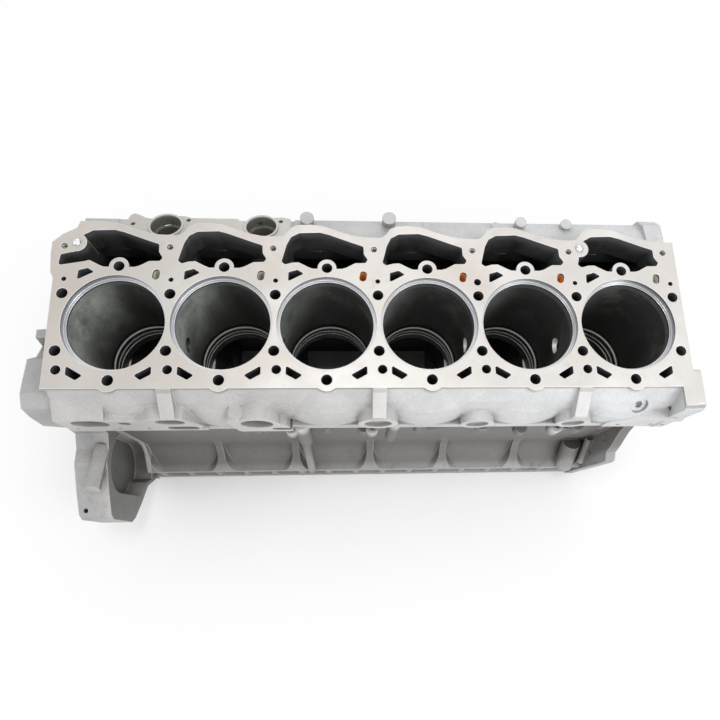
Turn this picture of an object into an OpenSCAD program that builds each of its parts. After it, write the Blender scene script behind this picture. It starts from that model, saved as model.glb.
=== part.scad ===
// Bare inline six cylinder diesel engine block with its bearing caps, bushings, dowels and plugs.
// X runs along the crankshaft, Y across towards the pushrod side and Z up.
// The origin is on the crankshaft axis at the centre main bearing. Sizes are in millimetres.

/* [Overall] */
// Distance between neighbouring cylinder axes
pitch = 165; // [164:0.5:170]
// Height of the head face above the crankshaft axis
deck_h = 420; // [415:1:440]
// Depth of the oil pan face below the crankshaft axis
rail_drop = 112; // [110:1:125]

/* [Cylinder bores] */
// Diameter of the counterbore that takes the liner flange
flange_d = 159; // [156:0.5:160]
// Depth of that counterbore
flange_depth = 10.5; // [8:0.5:12]
// Diameter of the opening in the ledge under the liner flange
ledge_d = 150; // [149:0.5:153]
// Thickness of the ledge
ledge_t = 13; // [10:1:16]
// Diameter of the water space round the liner
jacket_d = 157; // [155:0.5:158]
// Depth from the head face to the lower liner seat
jacket_depth = 200; // [190:1:205]
// Diameter of the lower liner seat
lower_seat_d = 147; // [144:0.5:148]
// Length of the lower liner seat
lower_seat_l = 50; // [46:1:54]
// Depth of each seal groove in the lower seat
groove_depth = 3; // [2:0.5:4]

/* [Head joint] */
// Diameter of the head bolt holes
head_bolt_d = 17.5; // [16:0.5:19]
// Depth of the head bolt holes
head_bolt_depth = 110; // [90:5:130]
// Diameter of the oil drain holes beside the near bolt row
drain_d = 15; // [12:0.5:16]
// Distance of the oil drain holes from the bore line
drain_y = 78.4; // [77:0.2:80]
// Diameter of the small oil holes above the far bolt row
oil_hole_d = 8; // [6:0.5:10]
// Diameter of the locating dowels
head_dowel_d = 14; // [12:0.5:16]
// Height that a dowel stands above the head face
head_dowel_h = 6; // [4:0.5:10]

/* [Crankcase] */
// Diameter of the main bearing housings
main_d = 120; // [112:1:124]
// Thickness of each bulkhead
bulkhead_t = 30; // [26:1:34]
// Thickness of a bearing cap along the crankshaft
cap_t = 38; // [34:1:42]
// Width of a bearing cap across the block
cap_w = 196; // [190:1:200]
// Height of a bearing cap below the crankshaft axis
cap_h = 98; // [94:1:102]
// Height of the cap shoulders that carry the bolts
cap_shoulder = 70; // [66:1:74]
// Distance of the cap bolts from the sides of a cap
cap_bolt_inset = 18; // [18:1:24]
// Diameter of the cap bolts
cap_bolt_d = 18; // [16:1:20]
// Half width of the oil pan face
rail_half = 175; // [170:1:180]
// Height of the upright face of the oil pan rail
rail_h = 84; // [80:1:86]

/* [Camshaft side] */
// Distance of the camshaft axis from the bore line
cam_y = 138; // [136:1:140]
// Depth of the camshaft axis below the head face
cam_depth = 252; // [250:1:256]
// Diameter of the camshaft bores
cam_bore_d = 70; // [66:1:72]
// Inner diameter of the camshaft bushings
cam_bush_id = 63; // [58:1:64]
// Diameter of the tappet bores
tappet_d = 33; // [28:1:36]
// Depth of the pushrod chamber below the head face
chamber_depth = 165; // [150:1:170]
// Diameter of the two injection pump bores
pump_bore_d = 53; // [48:1:56]

/* [Fits] */
// Clearance between a fitted piece and its seat, on the radius
fit = 0.15; // [0.05:0.05:0.3]
// Clearance of a bolt in its hole, on the radius
bolt_gap = 0.4; // [0.3:0.1:0.8]

/* [Hidden] */
$fn = 64;

n_cyl = 6;
n_web = 7;
bolt_r = pitch / sqrt(3);
rear_x = -(3 * pitch + 16);
front_x = 3 * pitch + 15;
near_y = -108.4;
cut = 1;
cap_bolt_y = cap_w / 2 - cap_bolt_inset;

// Places along the crankshaft, down from the head face and depths of heights over the crankshaft axis
function cyl_x(i) = (i - 2.5) * pitch;
function web_x(j) = (j - 3) * pitch;
function dn(d) = deck_h - d;
function up(z) = deck_h - z;
function section(pts) = [for (p = pts) [p[0], dn(p[1])]];
function mirrored(pts) = concat(pts, [for (i = [len(pts) - 1:-1:0]) [-pts[i][0], pts[i][1]]]);

module along_x(x0, x1) translate([x0, 0, 0]) rotate([90, 0, 90]) linear_extrude(x1 - x0) children();
module along_y(y0, y1) translate([0, y1, 0]) rotate([90, 0, 0]) linear_extrude(y1 - y0) children();
module down(d0, d1) translate([0, 0, dn(d1)]) linear_extrude(d1 - d0) children();
module soften(r) offset(r = -r, $fn = 20) offset(delta = r)
    offset(r = r, $fn = 20) offset(delta = -r) children();
module slot2d(l, w) union() {
    square([l - w, w], center = true);
    for (s = [-1, 1]) translate([s * (l - w) / 2, 0]) circle(d = w);
}

// Outline of the head face, with the wavy rim of the pushrod chambers on the far side
rim = [[-82, 151.5], [-73, 152.5], [-66, 159], [-60, 168], [-49, 173.5], [-28, 174.5], [-8, 172.5],
       [17, 163], [38, 156.5], [57, 152.5]];
deck_boss_r = 18.6;
module deck_plan() union() {
    polygon(concat(
        [[rear_x + 1, near_y], [front_x, near_y], [front_x, 20], [front_x - 2.5, 92], [front_x - 3, 140]],
        [[front_x - 13, 151]],
        [for (i = [n_cyl - 1:-1:1]) each [for (k = [len(rim) - 1:-1:0]) [cyl_x(i) + rim[k][0], rim[k][1]]]],
        [for (k = [len(rim) - 1:-1:5]) [cyl_x(0) + rim[k][0], rim[k][1]]],
        [[rear_x + 31, 175.5], [rear_x + 27, 163], [rear_x + 6, 151], [rear_x - 9, 137], [rear_x - 9, 116],
         [rear_x - 6, 84], [rear_x - 1, 74]]));
    for (i = [0:n_cyl - 1]) translate([cyl_x(i), -bolt_r]) circle(deck_boss_r);
}

// Opening of a pushrod chamber through the head face
chamber_boss_r = 15.3;
dowel_boss_r = 15.5;
dowel_y = 136.2;
dowel_x = [cyl_x(0) - 69, cyl_x(5) - 68];
head_dowel_seat = 20;
pocket = [[-74, 106], [-68, 101], [-56, 104.5], [-46, 105], [-31, 97], [-24, 94], [24, 94], [31, 96],
          [46, 104.5], [63, 105], [67, 111], [60.5, 121], [60, 135], [39, 142.5], [3, 156], [-12, 160],
          [-46, 158.5], [-59, 151], [-66, 137]];
rear_pocket = [[-94, 96], [-92, 115], [-77, 119], [-50, 121], [-50, 104], [-66, 101]];
module pocket_plan(i) difference() {
    soften(3.5) union() {
        polygon(pocket);
        if (i == 0) polygon(rear_pocket);
    }
    translate([0, bolt_r]) circle(chamber_boss_r);
    if (i == 0 || i == n_cyl - 1) translate([(i == 0 ? dowel_x[0] : dowel_x[1]) - cyl_x(i), dowel_y])
        circle(dowel_boss_r);
}

// Water windows and oil slots in the head face
window_near = [[37.5, -87.5], [47.5, -95], [63.2, -86], [63.2, -72]];
window_far = [[-62.8, 71], [-62, 87.5], [-48, 91.8], [-37, 85]];
module windows_plan(i) translate([cyl_x(i), 0]) {
    for (m = [0, 1]) mirror([m, 0]) offset(r = 2, $fn = 12) offset(delta = -2) polygon(window_near);
    offset(r = 2, $fn = 12) offset(delta = -2) polygon(window_far);
    translate([58.8, 81]) rotate(80) slot2d(18, 11.5);
}

// Places of the holes in the head face
function bolt_places() = concat(
    [for (i = [0:n_cyl - 1], s = [-1, 1]) [cyl_x(i), s * bolt_r]],
    [for (j = [0:n_web - 1], s = [-1, 1]) [web_x(j), s * bolt_r / 2]]);
tapped_y = 130;
function tapped_x(j) = web_x(j) - 5.2;

module head_face_holes() {
    down(-cut, head_bolt_depth) for (p = bolt_places()) translate(p) circle(d = head_bolt_d);
    down(-cut, 70) for (j = [0:n_cyl - 1]) translate([web_x(j) + 4.7, -drain_y]) circle(d = drain_d);
    down(-cut, 60) for (j = [0:n_web - 1])
        translate([web_x(j), 72.3]) circle(d = j == 4 ? oil_hole_d + 4 : oil_hole_d);
    down(-cut, 32) for (j = [0:n_web - 1]) translate([tapped_x(j), tapped_y]) circle(d = 10.5);
    down(-cut, head_dowel_seat) for (x = dowel_x) translate([x, dowel_y]) circle(d = head_dowel_d + 2 * fit);
    down(-cut, 60) for (i = [0:n_cyl - 1]) windows_plan(i);
}

// Outside of the casting across the crankshaft, as it is at a bulkhead
wall_y = -117;
far_y = 222;
rail_top = deck_h + rail_drop - rail_h;
pan_depth = deck_h + rail_drop;
lip_y = rail_half - 3;
rail_in = 16;
core_section = [[-104, 1], [-106, 6], [-113, 14], [-124, 30], [-131, 46], [-135, 64], [-136, 96], [-126, 116],
    [wall_y, 128], [wall_y, up(52)], [-122, up(24)], [-134, up(4)], [-162, rail_top - 10],
    [-lip_y, rail_top - 2], [-lip_y, rail_top + 12],
    [-rail_half + rail_in, rail_top + 18], [-rail_half + rail_in, pan_depth - 18],
    [-rail_half + 4, pan_depth - 14], [-rail_half + 4, pan_depth], [rail_half - 4, pan_depth],
    [rail_half - 4, pan_depth - 14], [rail_half - rail_in, pan_depth - 18],
    [rail_half - rail_in, rail_top + 18], [lip_y, rail_top + 12], [lip_y, rail_top + 3], [168, rail_top],
    [196, up(80)], [far_y, up(144)], [far_y, 66], [176, 50], [150, 1]];

// Barrel of the water jacket, turned about a cylinder axis
barrel = [[60, 6], [104, 6], [112, 11], [126, 25], [139, 43], [146, 60], [148.5, 78], [147, 96],
          [139, 116], [128, 132], [118, 140], [60, 140]];

module outside() {
    down(0, 12) deck_plan();
    intersection() {
        down(0, 52) deck_plan();
        translate([-600, 100, 0]) cube([1200, 100, deck_h + 10]);
    }
    along_x(rear_x + 6, front_x - 4) polygon(section(core_section));
    for (i = [0:n_cyl - 1]) intersection() {
        translate([cyl_x(i), 0, 0]) rotate_extrude(angle = 180, start = 180) polygon(section(barrel));
        translate([cyl_x(i) - (i == 0 ? 92 : 120), -200, 0]) cube([i == n_cyl - 1 ? 213 : 240, 210, deck_h]);
    }
    near_rail();
    far_side();
    rear_flange();
    front_flange();
}

// Machined rail, port flanges and bosses along the near side
rail_face = -149;
drilled_x = [-148, -7, 324];
pad_w = 22;
module near_rail() {
    // Sloping clamp pads at three bulkheads
    for (j = [1, 3, 5]) along_x(web_x(j) - pad_w / 2, web_x(j) + pad_w / 2)
        polygon(section([[near_y, 0], [-149, 34], [-149, 52], [-100, 90], [-100, 0]]));
    // Machined strip along the foot of the barrels
    along_y(rail_face + 3, -112) translate([0, dn(107)]) square([front_x - rear_x - 8, 20], center = true);
    // Port flange at the rear
    along_x(rear_x + 6, -428) polygon(section([[-118, 22], [rail_face, 38], [rail_face, 112], [-110, 112]]));
    along_y(rail_face, -110) soften(8) polygon(section(
        [[-440, 40], [-385, 48], [-360, 34], [-310, 36], [-290, 74], [-280, 112], [-440, 112]]));
    // Bracket with the round port
    along_y(rail_face - 3, -110) translate([-196, dn(60)]) circle(36);
    along_y(rail_face - 3, -110) soften(8)
        polygon(section([[-243, 36], [-226, 30], [-196, 40], [-150, 70], [-140, 112], [-232, 112]]));
    translate([-226, -138, dn(70)]) cylinder(r = 12, h = 40);
    // Round pads under the clamp pads and between them
    along_y(rail_face - 1, -110) translate([0, dn(72)]) circle(33);
    along_y(rail_face - 1, -110) translate([168, dn(80)]) circle(28);
    along_y(rail_face - 1, -110) translate([333, dn(78)]) circle(29);
    // Flange at the front
    along_y(rail_face, -110) soften(8)
        polygon(section([[395, 74], [440, 58], [front_x - 2, 56], [front_x - 2, 112], [395, 112]]));
}

// Upright bosses, the oil return column and the bosses of the oil pan flange
rail_boss_pitch = (6 * pitch - 40) / 15;
function rail_x(k) = web_x(0) + 20 + k * rail_boss_pitch;
pan_hole_y = rail_half - 12.5;
bar_x = [-300, -180, -45, 75, 245];
strip_bosses = [[-302, -124, 160, 9, 18], [-240, -126, 185, 10, 30], [-88, -126, 176, 10, 34],
    [-20, -126, 205, 11, 22], [200, -127, 178, 12, 24], [287, -127, 215, 12, 24], [388, -127, 185, 14, 20],
    [442, -124, 170, 9, 40]];
module near_posts() {
    translate([-131, -137, dn(262)]) cylinder(r = 14, h = 152);
    translate([-131, -143, dn(240)]) rotate([-7, 0, 0]) mirror([0, 0, 1]) cylinder(r = 8.5, h = 212);
    translate([34, -134, dn(250)]) cylinder(r = 11, h = 140);
    translate([82, -129, dn(215)]) cylinder(r = 7, h = 105);
    for (x = drilled_x) translate([x, -144, dn(158)]) union() {
        cylinder(r = 11, h = 34);
        translate([-5, 0, 0]) cube([10, 32, 50]);
    }
    for (b = strip_bosses) translate([b[0], b[1], dn(b[2] + b[4])]) cylinder(r = b[3], h = b[4]);
    translate([104, -124, dn(215)]) rotate([0, 56.5, 0]) cylinder(r = 9, h = 67);
    // Slanting bosses near the front
    translate([454, -126, 34]) rotate([-32, 0, 0]) mirror([0, 0, 1]) cylinder(r = 20, h = 76);
    translate([484, -122, 64]) rotate([-32, 0, 0]) mirror([0, 0, 1]) cylinder(r = 9, h = 76);
    for (s = [-1, 1]) translate([0, 0, -rail_drop]) linear_extrude(rail_h - 8) for (k = [0:15])
        translate([rail_x(k), s * pan_hole_y]) circle(r = 9);
    // Bars with two holes on the wall and small bosses between them
    for (x = bar_x) along_y(-128, -110) translate([x, dn(190)]) slot2d(46, 19);
    for (x = [-212, 210, 372]) along_y(-130, -110) translate([x, dn(226)]) circle(11);
}

// Shoulder, pump pad and bosses along the far side
pump_x = [cyl_x(0) + 47, cyl_x(1) + 47];
pump_y = 206;
pump_d = 62;
pump_tilt = 18;
pump_rim = 3.5;
pump_seat = 18;
ear_holes = [[-58, 6], [36, 17], [198, 17]];
pump_pad = [[-71, -34], [-71, 7], [-69, 14], [-66, 28], [-60, 33], [-52, 30], [-38, 22], [-22, 18], [-2, 25],
    [13, 28], [30, 27], [42, 22.5], [122, 22.5], [126, 17], [136, 16], [151, 24], [168, 28], [180, 26],
    [200, 28], [215, 24], [217, -34]];
module at_pump(x) translate([x, pump_y, dn(pump_d)]) rotate([-pump_tilt, 0, 0]) children();
module pump_clearing() at_pump(pump_x[0]) translate([-82, -33, 0]) cube([299, 90, 70]);
module pump_mounting() {
    at_pump(pump_x[0]) translate([0, 0, -84]) linear_extrude(84) soften(2) polygon(pump_pad);
    for (x = pump_x) at_pump(x) translate([0, 0, -10]) cylinder(d = pump_bore_d + 2 * pump_rim, h = 13);
}
far_posts = [[-119, 213, 40, 12], [-5, 204, 58, 6], [25, 213, 37, 12], [58, 208, 56, 6.5], [94, 209, 54, 7],
    [219, 210, 52, 7.5], [262, 212, 41, 10], [347, 212, 46, 10], [372, 206, 58, 7]];
module far_side() {
    for (p = far_posts) translate([p[0], p[1], dn(p[2] + 150)]) cylinder(r = p[3], h = 150);
    for (j = [3:n_web - 2]) along_x(web_x(j) - 7, web_x(j) + 7)
        polygon(section([[160, 56], [far_y + 7, 84], [far_y + 7, up(170)], [202, up(90)], [160, up(90)]]));
    // Raised shoulder behind the third to sixth barrel
    along_x(-142, front_x - 6) polygon(section([[150, 40], [176, 44], [204, 52], [far_y, 62], [far_y, 90],
        [150, 90]]));
}

// Flange at the flywheel end, with the starter lobe on the near side
rear_flange_x = rear_x - 44;
leg_y = -284;
rear_outline = [[-86, 33], [-107, 31], [-128, 40], [-135, 66], [-140, 110], [-126, up(232)], [-130, up(198)],
    [-157, up(187)], [-184, up(189)], [-234, up(168)], [-276, up(147)], [leg_y, up(132)], [leg_y, up(38)],
    [leg_y + 10, up(20)], [-241, up(-9)], [-200, up(-40)], [-rail_half, up(-96)], [-rail_half, pan_depth],
    [rail_half + 60, pan_depth], [262, up(-50)], [274, up(20)], [268, up(100)], [240, up(170)],
    [190, up(230)], [120, 140], [60, 100], [20, 80], [8, 53], [-6, 53], [-12, 76], [-36, 62], [-48, 38]];
module rear_flange() {
    along_x(rear_flange_x, rear_x + 15) polygon(section(rear_outline));
    // Round ridge on the top of the starter lobe
    translate([rear_x + 1, -152, 183]) rotate([75.5, 0, 0]) cylinder(r = 13, h = 86);
}

// Hollow that the starter motor leaves in the flange
module starter_pocket() {
    along_x(rear_x - 24, rear_x + 15 + cut) intersection() {
        union() {
            translate([-173, 114]) circle(59);
            translate([-168, 0]) circle(60);
            polygon([[-232, 114], [-114, 114], [-108, 0], [-228, 0]]);
        }
        offset(delta = -9) polygon(section(rear_outline));
    }
    translate([rear_x - 31, -268, 120]) cylinder(r = 4.4, h = 60);
}

// Flange at the front end, with the ear that reaches the head face
front_outline = [[-139, 0], [-146, 8], [-146, 62], [-150, 74], [-150, 112], [-124, up(228)], [-135, up(189)],
    [-156, up(144)], [-164, up(122)], [-180, up(114)], [-182, up(100)], [-rail_half, pan_depth],
    [rail_half, pan_depth], [196, up(-50)], [206, up(120)], [232, 180], [238, 104], [230, 62], [212, 46],
    [166, 40], [150, 6], [150, 0]];
module front_flange() {
    along_x(front_x - 20, front_x) polygon(section(front_outline));
    along_x(front_x - 8, front_x + 13) soften(6)
        polygon(section([[-78, 0], [-139, 0], [-146, 10], [-146, 62], [-150, 74], [-124, 176], [-84, 120]]));
    along_x(front_x - 8, front_x + 13) soften(6)
        polygon(section([[174, 42], [212, 46], [230, 62], [238, 104], [226, 130], [190, 90]]));
}

// Recess between two bulkheads on the outside of the crankcase
scoop_w = pitch - 15;
scoop_corner = 28;
module scoop(side, y0, d0, r) intersection() {
    along_x(-pitch / 2, pitch / 2) mirror([side > 0 ? 0 : 1, 0]) union() {
        translate([y0 + r, dn(d0)]) circle(r);
        translate([y0, dn(d0)]) square([90, 120]);
    }
    along_y(-360, 360) union() {
        translate([-scoop_w / 2, dn(d0 + r - scoop_corner)]) square([scoop_w, 120]);
        translate([-scoop_w / 2 + scoop_corner, dn(d0 + r)]) square([scoop_w - 2 * scoop_corner, 120]);
        for (s = [-1, 1]) translate([s * (scoop_w / 2 - scoop_corner), dn(d0 + r - scoop_corner)])
            circle(scoop_corner);
    }
}

// Inside of a liner bore, turned about its axis
groove_w = 5;
module liner_bore() rotate_extrude() polygon(section([
    [0, -cut], [flange_d / 2, -cut], [flange_d / 2, flange_depth], [ledge_d / 2, flange_depth],
    [ledge_d / 2, flange_depth + ledge_t], [jacket_d / 2, flange_depth + ledge_t + 2],
    [jacket_d / 2, jacket_depth - 4], [lower_seat_d / 2 + 3, jacket_depth],
    [lower_seat_d / 2, jacket_depth + 4], [lower_seat_d / 2, jacket_depth + 14],
    [lower_seat_d / 2 + groove_depth, jacket_depth + 14],
    [lower_seat_d / 2 + groove_depth, jacket_depth + 14 + groove_w],
    [lower_seat_d / 2, jacket_depth + 14 + groove_w], [lower_seat_d / 2, jacket_depth + 27],
    [lower_seat_d / 2 + groove_depth, jacket_depth + 27],
    [lower_seat_d / 2 + groove_depth, jacket_depth + 27 + groove_w],
    [lower_seat_d / 2, jacket_depth + 27 + groove_w],
    [lower_seat_d / 2, jacket_depth + lower_seat_l + 8], [0, jacket_depth + lower_seat_l + 8]]));

// Round holes that join the water spaces of neighbouring bores
cross_d = 28;
cross_depth = 103;
module cross_holes() for (j = [1:n_web - 2])
    along_x(web_x(j) - 22, web_x(j) + 22) translate([0, dn(cross_depth)]) circle(d = cross_d);

// Space between two bulkheads, open to the pan and to the camshaft tunnel
cavity_top = jacket_depth + lower_seat_l + 2;
cavity = [[-96, cavity_top], [-106, up(120)], [-110, up(10)], [-128, up(-30)], [-142, pan_depth + cut],
    [146, pan_depth + cut], [148, up(-30)], [146, up(90)], [140, up(120)], [106, up(140)], [106, cavity_top]];
housing_r = main_d / 2 + 15;
module bays() for (j = [0:n_cyl - 1]) difference() {
    along_x(web_x(j) + bulkhead_t / 2, web_x(j + 1) - bulkhead_t / 2) polygon(section(cavity));
    for (x = [web_x(j), web_x(j + 1) - cap_t / 2]) along_x(x, x + cap_t / 2) circle(housing_r);
}

// Pushrod chambers, tappet bores and the camshaft tunnel
cam_z = dn(cam_depth);
module camshaft_side() {
    for (i = [0:n_cyl - 1]) translate([cyl_x(i), 0, 0]) {
        down(-cut, 60) pocket_plan(i);
        down(50, 88) translate([-62, 113]) square([124, 46]);
        down(86, chamber_depth) soften(8)
            polygon([[-66, 113], [66, 113], [66, 186], [50, 202], [-50, 202], [-66, 186]]);
        down(chamber_depth - cut, cam_depth - 20) for (s = [-1, 1])
            translate([s * 32, cam_y]) circle(d = tappet_d);
        along_x(-(pitch - bulkhead_t) / 2, (pitch - bulkhead_t) / 2) translate([cam_y, cam_z]) circle(40);
    }
    along_x(rear_flange_x - cut, front_x + cut) translate([cam_y, cam_z]) circle(d = cam_bore_d);
    for (x = pump_x) at_pump(x) {
        translate([0, 0, -pump_seat]) cylinder(d = pump_bore_d, h = 40);
        translate([0, 0, -104]) cylinder(d = pump_bore_d - 9, h = 104);
    }
    at_pump(pump_x[0]) for (p = ear_holes) translate([p[0], p[1], -24]) cylinder(d = 8.5, h = 30);
}

// Main bearing housings, the seats of the caps and their bolt holes
cap_seat_w = cap_w + 2 * fit;
module main_bearings() {
    for (j = [0:n_web - 1]) translate([web_x(j), 0, 0])
        translate([-cap_t, -cap_seat_w / 2, -rail_drop - cut]) cube([2 * cap_t, cap_seat_w, rail_drop + cut]);
    along_x(rear_flange_x - cut, front_x + 14) circle(d = main_d);
    for (j = [0:n_web - 1], s = [-1, 1]) translate([web_x(j), s * cap_bolt_y, -cut])
        cylinder(d = cap_bolt_d + 2 * bolt_gap, h = 90);
}

// Ports in the near side rail
module near_ports() {
    along_y(rail_face - 5, -90) translate([-458, dn(62)]) slot2d(58, 42);
    along_y(rail_face - 5, -90) translate([-405, dn(62)]) circle(10);
    along_y(rail_face - 5, -90) translate([-332, dn(54)]) slot2d(46, 30);
    along_y(rail_face - 5, -90) translate([-322, dn(96)]) slot2d(52, 24);
    along_y(rail_face - 5, -90) translate([-196, dn(58)]) circle(26);
    along_y(rail_face - 5, -104) translate([-160, dn(95)]) slot2d(34, 18);
    along_y(rail_face - 5, rail_face + 7) translate([0, dn(72)]) circle(23);
    along_y(rail_face - 5, rail_face + 5) translate([168, dn(80)]) circle(19);
    along_y(rail_face - 5, rail_face + 5) translate([333, dn(78)]) circle(19);
    along_y(rail_face - 5, -120) for (x = [-492, -424, -378, -290, 420, 480, 500])
        translate([x, dn(96)]) circle(4.2);
    for (x = drilled_x) translate([x, -144, dn(150)]) cylinder(r = 4.4, h = 40);
    for (x = bar_x, s = [-1, 1]) along_y(-130, -116) translate([x + s * 13.5, dn(190)]) circle(3.6);
    for (x = [-212, 210, 372]) along_y(-132, -114) translate([x, dn(226)]) circle(4.2);
}

// Recesses and holes in the two end faces. The lobe of the starter is recessed less
rear_ring_r = 252;
rear_angles = [-20, -4, 12, 28, 44, 60, 76, 92, 108, 140, 156, 172];
module rear_recess(depth, y0) along_x(rear_flange_x - cut, rear_flange_x + depth) difference() {
    offset(delta = -18) polygon(section(rear_outline));
    circle(r = main_d / 2 + 22);
    translate([cam_y, cam_z]) circle(r = cam_bore_d / 2 + 16);
    for (a = concat(rear_angles, end_dowel_angles)) rotate(a) translate([rear_ring_r - 4, 0]) circle(15);
    at_gallery() circle(24);
    translate([-400, -rail_drop]) square([400 + y0, deck_h + rail_drop]);
}
module end_faces() {
    rear_recess(30, -104);
    rear_recess(8, -360);
    along_x(rear_flange_x - cut, rear_flange_x + 30) for (a = rear_angles)
        rotate(a) translate([rear_ring_r, 0]) circle(d = 11);
    along_x(front_x - 24, front_x + 20) for (p = [[-160, -80], [-150, 40], [-136, 118],
        [-132, dn(90)], [-132, dn(48)],
        [160, -80], [180, 60], [190, 180], [214, dn(120)], [214, dn(68)]]) translate(p) circle(d = 9);
    along_x(front_x - 5, front_x + cut) circle(r = 74);
}

// Holes of the oil pan flange
module pan_holes() translate([0, 0, -rail_drop - cut]) linear_extrude(32) for (k = [0:15], s = [-1, 1])
    translate([rail_x(k), s * pan_hole_y]) circle(d = 9);

// Oil gallery along the block and the seats of its plugs
gallery_y = 200;
gallery_depth = 236;
gallery_d = 20;
plug_d = 28;
plug_l = 18;
module at_gallery() translate([gallery_y, dn(gallery_depth)]) children();
module gallery() {
    along_x(rear_flange_x - cut, front_x + cut) at_gallery() circle(d = gallery_d);
    along_x(rear_flange_x - cut, rear_flange_x + plug_l) at_gallery()
        circle(d = plug_d + 2 * fit);
    along_x(front_x - plug_l, front_x + cut) at_gallery() circle(d = plug_d + 2 * fit);
}

// Seat of the core plug at the front end and of the threaded plug on the shoulder
core_d = 42;
core_l = 12;
end_core_y = -8;
end_core_depth = 96;
module at_shoulder_port() translate([cyl_x(5) + 20, -116, dn(52)]) rotate([45, 0, 0]) children();

// Dowel holes in the two end faces
end_dowel_d = 12;
end_dowel_angles = [4, 148];
end_dowel_l = 25;
end_dowel_seat = 18;
front_dowels = [[-158, -20], [200, dn(gallery_depth) + 68]];
module end_dowel_holes() {
    for (a = end_dowel_angles) rotate([a, 0, 0]) along_x(rear_flange_x - cut, rear_flange_x + end_dowel_seat)
        translate([rear_ring_r, 0]) circle(d = end_dowel_d + 2 * fit);
    for (p = front_dowels) along_x(front_x - end_dowel_seat, front_x + 14)
        translate(p) circle(d = end_dowel_d + 2 * fit);
}
module core_hole() along_x(front_x - 16, front_x + 14)
    translate([end_core_y, dn(end_core_depth)]) circle(d = core_d + 2 * fit);

module cylinder_block() color("silver") difference() {
    union() {
        difference() {
            outside();
            pump_clearing();
            for (i = [0:n_cyl - 1]) translate([cyl_x(i), 0, 0]) scoop(-1, -wall_y, up(22), 50);
            for (i = [0:n_cyl - 1]) translate([cyl_x(i), 0, 0]) scoop(1, 164, up(42), 84);
        }
        near_posts();
        pump_mounting();
    }
    for (i = [0:n_cyl - 1]) translate([cyl_x(i), 0, 0]) liner_bore();
    cross_holes();
    starter_pocket();
    head_face_holes();
    bays();
    camshaft_side();
    main_bearings();
    near_ports();
    end_faces();
    pan_holes();
    gallery();
    core_hole();
    end_dowel_holes();
    at_shoulder_port() cylinder(d = plug_d + 2 * fit, h = 60);
}

// Bearing cap, with the lower half of the housing
cap_section = mirrored([[-cap_w / 2, 0], [-cap_w / 2, -cap_shoulder + 6], [-cap_w / 2 + 6, -cap_shoulder],
    [-58, -cap_shoulder], [-44, -cap_h]]);
module main_bearing_cap(j) color("dimgray") translate([web_x(j - 1), 0, 0]) difference() {
    along_x(-cap_t / 2, cap_t / 2) difference() {
        polygon(cap_section);
        circle(d = main_d);
    }
    for (s = [-1, 1]) translate([0, s * cap_bolt_y, -cap_shoulder - cut])
        cylinder(d = cap_bolt_d + 2 * bolt_gap, h = cap_shoulder + 2 * cut);
}

// Flanged hexagon bolt of a cap
bolt_reach = 72;
module cap_bolt() {
    translate([0, 0, -cap_shoulder]) cylinder(d = cap_bolt_d, h = cap_shoulder + bolt_reach);
    translate([0, 0, -cap_shoulder - 4]) cylinder(d = cap_bolt_d + 16, h = 4);
    translate([0, 0, -cap_shoulder - 18]) cylinder(d = cap_bolt_d * 1.6, h = 14, $fn = 6);
}
module main_cap_bolts() color("slategray") for (j = [0:n_web - 1], s = [-1, 1])
    translate([web_x(j), s * cap_bolt_y, 0]) cap_bolt();

module camshaft_bushing(j) color("darkgoldenrod")
    along_x(web_x(j - 1) - bulkhead_t / 2 + 1, web_x(j - 1) + (j == 7 ? 0 : bulkhead_t / 2 - 1))
        translate([cam_y, cam_z]) difference() {
            circle(d = cam_bore_d - 2 * fit);
            circle(d = cam_bush_id);
        }

// Dowel with a domed head
module head_dowels() color("gainsboro") for (x = dowel_x) translate([x, dowel_y, dn(head_dowel_seat)])
    rotate_extrude() polygon([[0, 0], [head_dowel_d / 2 - 1, 0], [head_dowel_d / 2, 1],
        [head_dowel_d / 2, head_dowel_seat], for (a = [15:15:75])
        [head_dowel_d / 2 * cos(a), head_dowel_seat + head_dowel_h * sin(a)],
        [0, head_dowel_seat + head_dowel_h]]);

// Pressed cup plug, open towards the outside
module cup_plug() rotate_extrude()
    polygon([[0, 0], [core_d / 2 - 2, 0], [core_d / 2, 2], [core_d / 2, core_l], [core_d / 2 - 2, core_l],
             [core_d / 2 - 2, 3], [0, 2]]);
module end_core_plug() color("lightgray")
    translate([front_x - core_l - 1, end_core_y, dn(end_core_depth)]) rotate([0, 90, 0]) cup_plug();

// Threaded plug with a hexagon socket
module socket_plug() difference() {
    cylinder(d = plug_d, h = plug_l - 2);
    translate([0, 0, plug_l - 10]) cylinder(d = 14, h = 12, $fn = 6);
}
module oil_gallery_plugs() color("slategray") {
    translate([rear_flange_x + plug_l, gallery_y, dn(gallery_depth)]) rotate([0, -90, 0]) socket_plug();
    translate([front_x - plug_l, gallery_y, dn(gallery_depth)]) rotate([0, 90, 0]) socket_plug();
}

// Cup plug that closes the camshaft bore at the front end
module camshaft_bore_plug() color("lightgray") translate([front_x - 13, cam_y, cam_z]) rotate([0, 90, 0])
    rotate_extrude() polygon([[0, 0], [cam_bore_d / 2 - 2.5, 0], [cam_bore_d / 2 - fit, 2.5],
        [cam_bore_d / 2 - fit, 12], [cam_bore_d / 2 - 3, 12], [cam_bore_d / 2 - 3, 3], [0, 3]]);

// Threaded plug on the shoulder of the sixth barrel
module shoulder_port_plug() color("slategray") at_shoulder_port() socket_plug();

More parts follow.
